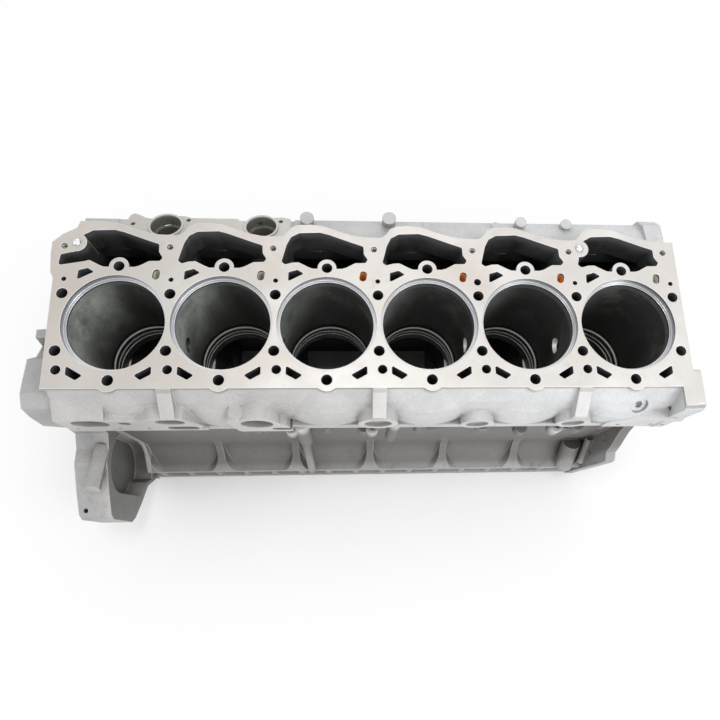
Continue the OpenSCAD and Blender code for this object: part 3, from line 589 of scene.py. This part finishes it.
def hidden_tones(g, at, p, tone, look, film, grain):
    """Painted shade in the pockets, holes and chambers, with painted light near the head face, then cross
    holes, crankcase, pump ports and oil slots laid over a tone
    """
    # Painted light near the head face over the painted shade deeper in
    rim = g.soft(p.z, DECK - 0.020, DECK - 0.004)
    hollow_shade = g.scaled(look.hollow_shade, g.soft(g.noise(at, 22.0, 3.0), 0.3, 0.7, 0.6, 2.4))
    hollow_shade = g.mix(g.mul(rim, 0.8), hollow_shade, Tone.LIT_POCKET_RIM)
    tone = g.mix(g.mul(p.dark, g.blend(film, 0.86, 1.0)), tone, hollow_shade)
    clean = g.soft(p.x, -0.05, 0.12)
    tone = g.mix(g.mul(p.tunnel, 0.9), tone, g.mix(clean, Tone.CROSS_OILED, Tone.CROSS_CLEAN))
    tone = g.mix(p.crankcase, tone, g.scaled(Tone.CRANKCASE, grain["Tone"]))
    tone = g.mix(g.mul(p.pump_bore, 0.78), tone, g.scaled(Tone.PUMP_BORE, grain["Tone"]))
    slot = g.mix(p.rusty, Tone.CLEAN_SLOT, look.rust)
    slot = g.mix(g.soft(g.noise(at, 260.0, 3.0), 0.45, 0.8, 0.0, 0.4), slot, Tone.SLOT_DIRT)
    return g.mix(p.slot, tone, slot)


def cast_block_material(look):
    """One material that paints the casting and picks its finish by place"""
    mat, g, shader = fresh_material("cast_block")
    at = g.place()
    p = Place(g, at)
    milled = g.either(p.deck, g.mul(p.port_faces, 0.7), p.ends, p.pan, g.mul(p.pads, 0.35), p.bearing,
                      g.mul(p.pump_face, 0.6))
    bright = g.either(p.flange_seat, p.seat_edges)
    wet = g.mul(g.either(p.bore, p.dark), g.off(bright))
    cast = g.off(g.either(milled, wet, bright))
    grain = use_group(g, bpy.data.node_groups["Cast grain"], Vector=at)
    marks = use_group(g, bpy.data.node_groups["Milled marks"], Vector=at)
    film = use_group(g, bpy.data.node_groups["Oil film"], Vector=at)["Mask"]
    milled_edge = g.blend(p.deck, 0.0013, 0.0022)
    wear_and_highlight = use_group(g, bpy.data.node_groups["Edge wear"],
                     Radius=g.blend(p.seat, g.blend(cast, milled_edge, look.edge_radius), 0.0018))
    warm = g.soft(g.noise(at, 7.0, 4.0, 0.65), 0.40, 0.70)

    paint = cast_tone(g, at, p, look, grain, wear_and_highlight)
    tone = g.mix(milled, paint, steel_tone(g, at, p, look, marks, wear_and_highlight, warm))
    tone = g.mix(p.bore, tone, bore_tone(g, at, p, look, film))
    tone = machined_tones(g, p, tone, marks, wear_and_highlight)
    g.plug(shader.inputs["Base Color"], hidden_tones(g, at, p, tone, look, film, grain))

    rough = g.blend(milled, g.soft(grain["Height"], 0.4, 0.9, 0.66, 0.52), g.soft(warm, 0.0, 1.0, 0.40, 0.52))
    rough = g.blend(wet, rough, g.soft(film, 0.0, 1.0, 0.42, 0.28))
    rough = g.blend(bright, rough, 0.28)
    g.plug(shader.inputs["Roughness"], g.blend(p.slot, rough, 0.85))
    metal = g.blend(milled, g.soft(grain["Tone"], 0.8, 1.1, 0.12, 0.22), g.soft(warm, 0.0, 1.0, 0.34, 0.24))
    metal = g.blend(wet, metal, g.soft(film, 0.0, 1.0, 0.30, 0.12))
    metal = g.blend(bright, metal, g.blend(p.seat, 0.75, 0.15))
    g.plug(shader.inputs["Metallic"], g.blend(p.slot, metal, 0.0))
    height = g.blend(cast, g.mul(marks["Height"], 0.03), grain["Height"])
    g.plug(shader.inputs["Normal"], bumped(g, height, look.grain, wear_and_highlight["Normal"]))
    return mat


def metal_material(name, base, rough_low, rough_high, metallic, grime, scale, edge=0.0006):
    """Machined piece with fine turning marks and a little grime"""
    mat, g, shader = fresh_material(name)
    at = g.place()
    marks = g.noise(g.stretch(at, (1.0, 1.0, 6.0)), scale, 4.0, 0.6)
    film = use_group(g, bpy.data.node_groups["Oil film"], Vector=at, Streak_Scale=55.0)["Mask"]
    tone = g.scaled(base, g.soft(marks, 0.25, 0.75, 0.86, 1.10))
    g.plug(shader.inputs["Base Color"], g.mix(g.mul(film, grime), tone, (0.06, 0.05, 0.04)))
    worn = g.add(marks, g.mul(film, 0.3))
    g.plug(shader.inputs["Roughness"], g.soft(worn, 0.3, 1.0, rough_low, rough_high))
    shader.inputs["Metallic"].default_value = metallic
    bevel = g.node("ShaderNodeBevel", {"Radius": edge}, samples=4).outputs[0]
    g.plug(shader.inputs["Normal"], bumped(g, marks, 0.00006, bevel))
    return mat


def dress(node, mat):
    """Puts one material in every slot of a CAD node"""
    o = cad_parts[node]
    if not o.material_slots:
        o.data.materials.append(mat)
    for s in o.material_slots:
        s.material = mat


def thread_tree():
    """Geometry nodes that lay a coil in each tapped hole"""
    tree = bpy.data.node_groups.new("Tapped threads", "GeometryNodeTree")
    face = tree.interface
    face.new_socket("Geometry", in_out="INPUT", socket_type="NodeSocketGeometry")
    for name, kind in (("Radius", "NodeSocketFloat"), ("Wire", "NodeSocketFloat"),
                       ("Pitch", "NodeSocketFloat"), ("Turns", "NodeSocketInt"),
                       ("Finish", "NodeSocketMaterial")):
        face.new_socket(name, in_out="INPUT", socket_type=kind)
    face.new_socket("Geometry", in_out="OUTPUT", socket_type="NodeSocketGeometry")
    g = Graph(tree)
    ins, outs = g.node("NodeGroupInput").outputs, g.node("NodeGroupOutput").inputs
    height = g.mul(ins["Pitch"], ins["Turns"])
    coil = g.node("GeometryNodeCurveSpiral", {"Resolution": 20, "Rotations": ins["Turns"],
                                              "Start Radius": ins["Radius"], "End Radius": ins["Radius"],
                                              "Height": height})
    ring = g.node("GeometryNodeCurvePrimitiveCircle", {"Resolution": 6, "Radius": ins["Wire"]})
    tube = g.node("GeometryNodeCurveToMesh", {"Curve": coil.outputs[0], "Profile Curve": ring.outputs[0],
                                              "Fill Caps": True})
    put = g.node("GeometryNodeInstanceOnPoints", {"Points": ins["Geometry"], "Instance": tube.outputs[0]})
    real = g.node("GeometryNodeRealizeInstances", {"Geometry": put.outputs[0]})
    painted = g.node("GeometryNodeSetMaterial", {"Geometry": real.outputs[0], "Material": ins["Finish"]})
    g.plug(outs["Geometry"], painted.outputs[0])
    return tree


def run_tree(name, points, tree, values):
    """Runs a geometry node tree on a cloud of points and keeps the result as a plain mesh"""
    seed = bpy.data.meshes.new(name + "_points")
    seed.from_pydata(points, [], [])
    o = bpy.data.objects.new(name, seed)
    bpy.context.scene.collection.objects.link(o)
    mod = o.modifiers.new("build", "NODES")
    mod.node_group = tree
    for item in tree.interface.items_tree:
        if item.item_type == "SOCKET" and item.in_out == "INPUT" and item.name in values:
            mod[item.identifier] = values[item.name]
    o.update_tag()
    bpy.context.view_layer.update()
    done = bpy.data.meshes.new_from_object(o.evaluated_get(bpy.context.evaluated_depsgraph_get()))
    o.modifiers.remove(mod)
    o.data = done
    bpy.data.meshes.remove(seed)
    return o


class BLOCK_OT_cast(bpy.types.Operator):
    """Finish the casting with its machined and oiled faces"""
    bl_idname = "block.cast"
    bl_label = "Cast block"

    def execute(self, context):
        build_cast_grain()
        build_milled_marks()
        build_oil_film()
        build_edge_wear()
        build_crevice_shade()
        dress("cylinder_block", cast_block_material(context.scene.block_cast))
        return {"FINISHED"}


class BLOCK_OT_hardware(bpy.types.Operator):
    """Finish the bearing caps, bolts, bushings, dowels and plugs"""
    bl_idname = "block.hardware"
    bl_label = "Caps, bolts and plugs"

    def execute(self, context):
        look = context.scene.block_hardware
        iron = metal_material("cap_iron", look.iron, 0.42, 0.62, 0.6, 0.5, 320.0)
        bolt = metal_material("bolt_steel", look.bolt, 0.32, 0.55, 0.85, 0.45, 500.0)
        dowel = metal_material("dowel_steel", look.dowel, 0.14, 0.30, 1.0, 0.08, 700.0, 0.0003)
        plug = metal_material("plug_steel", look.plug, 0.26, 0.46, 0.9, 0.25, 500.0)
        bronze = metal_material("bushing_bronze", look.bronze, 0.25, 0.45, 0.95, 0.3, 600.0)
        finish = {"main_bearing_cap": iron, "camshaft_bushing": bronze, "main_cap_bolts": bolt,
                  "oil_gallery_plugs": bolt, "head_dowels": dowel, "flywheel_end_dowels": dowel,
                  "front_cover_dowels": dowel}
        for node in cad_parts:
            if node == "cylinder_block":
                continue
            dress(node, next((m for key, m in finish.items() if node.startswith(key)), plug))
        return {"FINISHED"}


class BLOCK_OT_threads(bpy.types.Operator):
    """Cut threads into the small tapped holes of the head face"""
    bl_idname = "block.threads"
    bl_label = "Tapped threads"

    def execute(self, context):
        size = context.scene.block_threads
        mat = metal_material("thread_crests", Tone.THREADS, 0.22, 0.40, 0.8, 0.3, 800.0, 0.0001)
        low = DECK - size.depth - size.pitch * size.turns
        coils = run_tree("tapped_threads", [(w + TAPPED[0], TAPPED[1], low) for w in WEBS], thread_tree(),
                         {"Radius": size.radius, "Wire": size.wire, "Pitch": size.pitch,
                          "Turns": size.turns, "Finish": mat})
        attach(coils, "root")
        return {"FINISHED"}


class BLOCK_OT_port(bpy.types.Operator):
    """Carry the cast rim of the first pump port down to its seat"""
    bl_idname = "block.port"
    bl_label = "Port rim"

    def execute(self, context):
        size = context.scene.block_port
        outer = size.bore + size.wall
        rings = ((size.bore, -size.top), (outer, -size.top), (outer, -size.foot), (size.bore, -size.foot))
        turn = Matrix.Rotation(-PORT_LEAN, 4, "X")
        verts, faces = [], []
        for k in range(size.sides):
            a = 2 * math.pi * k / size.sides
            for r, h in rings:
                verts.append(turn @ Vector((r * math.cos(a), r * math.sin(a), h)) + Vector(PORT_1))
            n = (k + 1) % size.sides
            faces += [(4 * k + i, 4 * n + i, 4 * n + (i + 1) % 4, 4 * k + (i + 1) % 4) for i in range(4)]
        mesh = bpy.data.meshes.new("port_rim")
        mesh.from_pydata(verts, [], faces)
        work = bmesh.new()
        work.from_mesh(mesh)
        bmesh.ops.recalc_face_normals(work, faces=work.faces)
        work.to_mesh(mesh)
        work.free()
        o = bpy.data.objects.new("port_rim", mesh)
        context.scene.collection.objects.link(o)
        mesh.materials.append(bpy.data.materials["cast_block"])
        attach(o, "root")
        return {"FINISHED"}


class BLOCK_OT_corner(bpy.types.Operator):
    """Close the end wall at the corner of the first pocket"""
    bl_idname = "block.corner"
    bl_label = "Pocket corner wall"

    def execute(self, context):
        size = context.scene.block_corner
        mesh = bpy.data.meshes.new("pocket_corner")
        work = bmesh.new()
        place = Matrix.Translation(Vector(CORNER) + Vector((size.wall / 2, 0.0, 0.0)))
        bmesh.ops.create_cube(work, size=1.0,
                              matrix=place @ Matrix.Diagonal((size.wall, size.width, size.height, 1.0)))
        work.to_mesh(mesh)
        work.free()
        o = bpy.data.objects.new("pocket_corner", mesh)
        context.scene.collection.objects.link(o)
        mesh.materials.append(bpy.data.materials["cast_block"])
        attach(o, "root")
        return {"FINISHED"}


class BLOCK_OT_stage(bpy.types.Operator):
    """Set up the pale floor, the lamps and the camera"""
    bl_idname = "block.stage"
    bl_label = "Studio"

    def execute(self, context):
        size = context.scene.block_studio
        half = size.floor_size / 2
        mesh = bpy.data.meshes.new("studio_floor")
        mesh.from_pydata([(-half, -half, RAIL), (half, -half, RAIL), (half, half, RAIL), (-half, half, RAIL)],
                         [], [(0, 1, 2, 3)])
        floor = bpy.data.objects.new("studio_floor", mesh)
        context.scene.collection.objects.link(floor)
        mesh.materials.append(self.floor_material(size))
        self.world(context.scene)
        lamps = (("key", (2.0, -1.0, 2.5), 1.3, size.key_power),
                 ("top", (0.0, 0.0, 2.9), 0.5, size.top_power),
                 ("left", (-2.4, -0.9, 1.7), 1.6, size.fill_power),
                 ("low", (0.6, -2.6, 1.0), 1.6, size.fill_power * 1.5),
                 ("back", (0.0, 2.4, 1.9), 1.8, size.fill_power))
        for name, spot, side, power in lamps:
            lamp = bpy.data.lights.new("lamp_" + name, "AREA")
            lamp.shape = "SQUARE"
            lamp.size = side
            lamp.energy = power
            o = bpy.data.objects.new("lamp_" + name, lamp)
            o.location = spot
            aim = -o.location.normalized()
            o.rotation_euler = aim.to_track_quat("-Z", "Y").to_euler()
            context.scene.collection.objects.link(o)
        self.camera(context.scene, size)
        context.scene.view_settings.view_transform = "Standard"
        return {"FINISHED"}

    @staticmethod
    def floor_material(size):
        mat = bpy.data.materials.new("studio_floor")
        mat.use_nodes = True
        mat.node_tree.nodes.clear()
        g = Graph(mat.node_tree)
        x, y = g.split(g.place())[:2]
        tone = g.scaled(size.floor_colour, g.soft(g.noise(g.place(), 3.0, 2.0), 0.0, 1.0, 0.985, 1.01))
        plain = g.node("ShaderNodeBsdfDiffuse", {"Color": tone})
        glow = g.node("ShaderNodeEmission", {"Color": (1.0, 1.0, 1.0, 1.0), "Strength": 1.0})
        path = g.node("ShaderNodeLightPath").outputs
        seen = g.either(path["Is Camera Ray"], path["Is Glossy Ray"])
        dx, dy = (g.math("MAXIMUM", g.sub(g.size(a), half), 0.0) for a, half in zip((x, y), SHADE_HALF))
        reach = g.reach(dx, dy)
        away = g.add(g.soft(reach, 0.0, 0.45, 0.0, 0.93), g.soft(reach, 0.6, 3.0, 0.0, 0.07))
        both = g.node("ShaderNodeMixShader", {0: g.mul(seen, away), 1: plain.outputs[0], 2: glow.outputs[0]})
        out = g.node("ShaderNodeOutputMaterial")
        mat.node_tree.links.new(both.outputs[0], out.inputs[0])
        return mat

    @staticmethod
    def world(scene):
        world = bpy.data.worlds.new("studio")
        scene.world = world
        world.use_nodes = True
        world.node_tree.nodes.clear()
        g = Graph(world.node_tree)
        path = g.node("ShaderNodeLightPath").outputs
        seen = g.either(path["Is Camera Ray"], path["Is Glossy Ray"], path["Is Transmission Ray"])
        sky = g.node("ShaderNodeBackground", {"Color": (1.0, 1.0, 1.0, 1.0),
                                              "Strength": g.blend(seen, 0.66, 1.0)})
        out = g.node("ShaderNodeOutputWorld")
        world.node_tree.links.new(sky.outputs[0], out.inputs[0])

    @staticmethod
    def camera(scene, size):
        lens = bpy.data.cameras.new("camera")
        lens.sensor_fit = "HORIZONTAL"
        lens.sensor_width = 36.0
        lens.lens = 36.0 * size.focal_px
        lens.shift_x, lens.shift_y = CAMERA_SHIFT
        lens.clip_start = 0.01
        lens.clip_end = 60.0
        o = bpy.data.objects.new("camera", lens)
        turn = Matrix(CAMERA_TURN).to_4x4()
        turn.translation = CAMERA_PLACE
        o.matrix_world = turn
        scene.collection.objects.link(o)
        scene.camera = o


# Columns of the camera's right, up and backward directions, its place, and the shift of its lens
CAMERA_TURN = ((0.997790, 0.006302, -0.066153),
               (-0.022533, 0.968603, -0.247591),
               (0.062515, 0.248534, 0.966604))
CAMERA_PLACE = (-0.05242, -0.35579, 1.26328)
CAMERA_SHIFT = (-0.0332, 0.0656)


class BLOCK_PT_panel(bpy.types.Panel):
    """Lists the steps that finish the block"""
    bl_label = "Engine Block"
    bl_idname = "BLOCK_PT_panel"
    bl_space_type = "VIEW_3D"
    bl_region_type = "UI"
    bl_category = "Engine Block"

    def draw(self, context):
        for step in STEPS:
            self.layout.operator(step.bl_idname)
        for group in GROUPS:
            box = self.layout.box()
            values = getattr(context.scene, group)
            for key in values.bl_rna.properties.keys():
                if key not in ("rna_type", "name"):
                    box.prop(values, key)


STEPS = (BLOCK_OT_cast, BLOCK_OT_hardware, BLOCK_OT_threads, BLOCK_OT_port, BLOCK_OT_corner, BLOCK_OT_stage)
GROUPS = {"block_cast": CastFinish, "block_hardware": HardwareFinish, "block_threads": ThreadSizes,
          "block_port": PortSizes, "block_corner": CornerSizes, "block_studio": StudioSizes}


def register():
    for cls in (*GROUPS.values(), *STEPS, BLOCK_PT_panel):
        bpy.utils.register_class(cls)
    for key, cls in GROUPS.items():
        setattr(bpy.types.Scene, key, PointerProperty(type=cls))


def unregister():
    for key in GROUPS:
        delattr(bpy.types.Scene, key)
    for cls in reversed((*GROUPS.values(), *STEPS, BLOCK_PT_panel)):
        bpy.utils.unregister_class(cls)


def main():
    register()
    bpy.ops.block.cast()
    bpy.ops.block.hardware()
    bpy.ops.block.threads()
    bpy.ops.block.port()
    bpy.ops.block.corner()
    bpy.ops.block.stage()


if __name__ == "__main__":
    main()
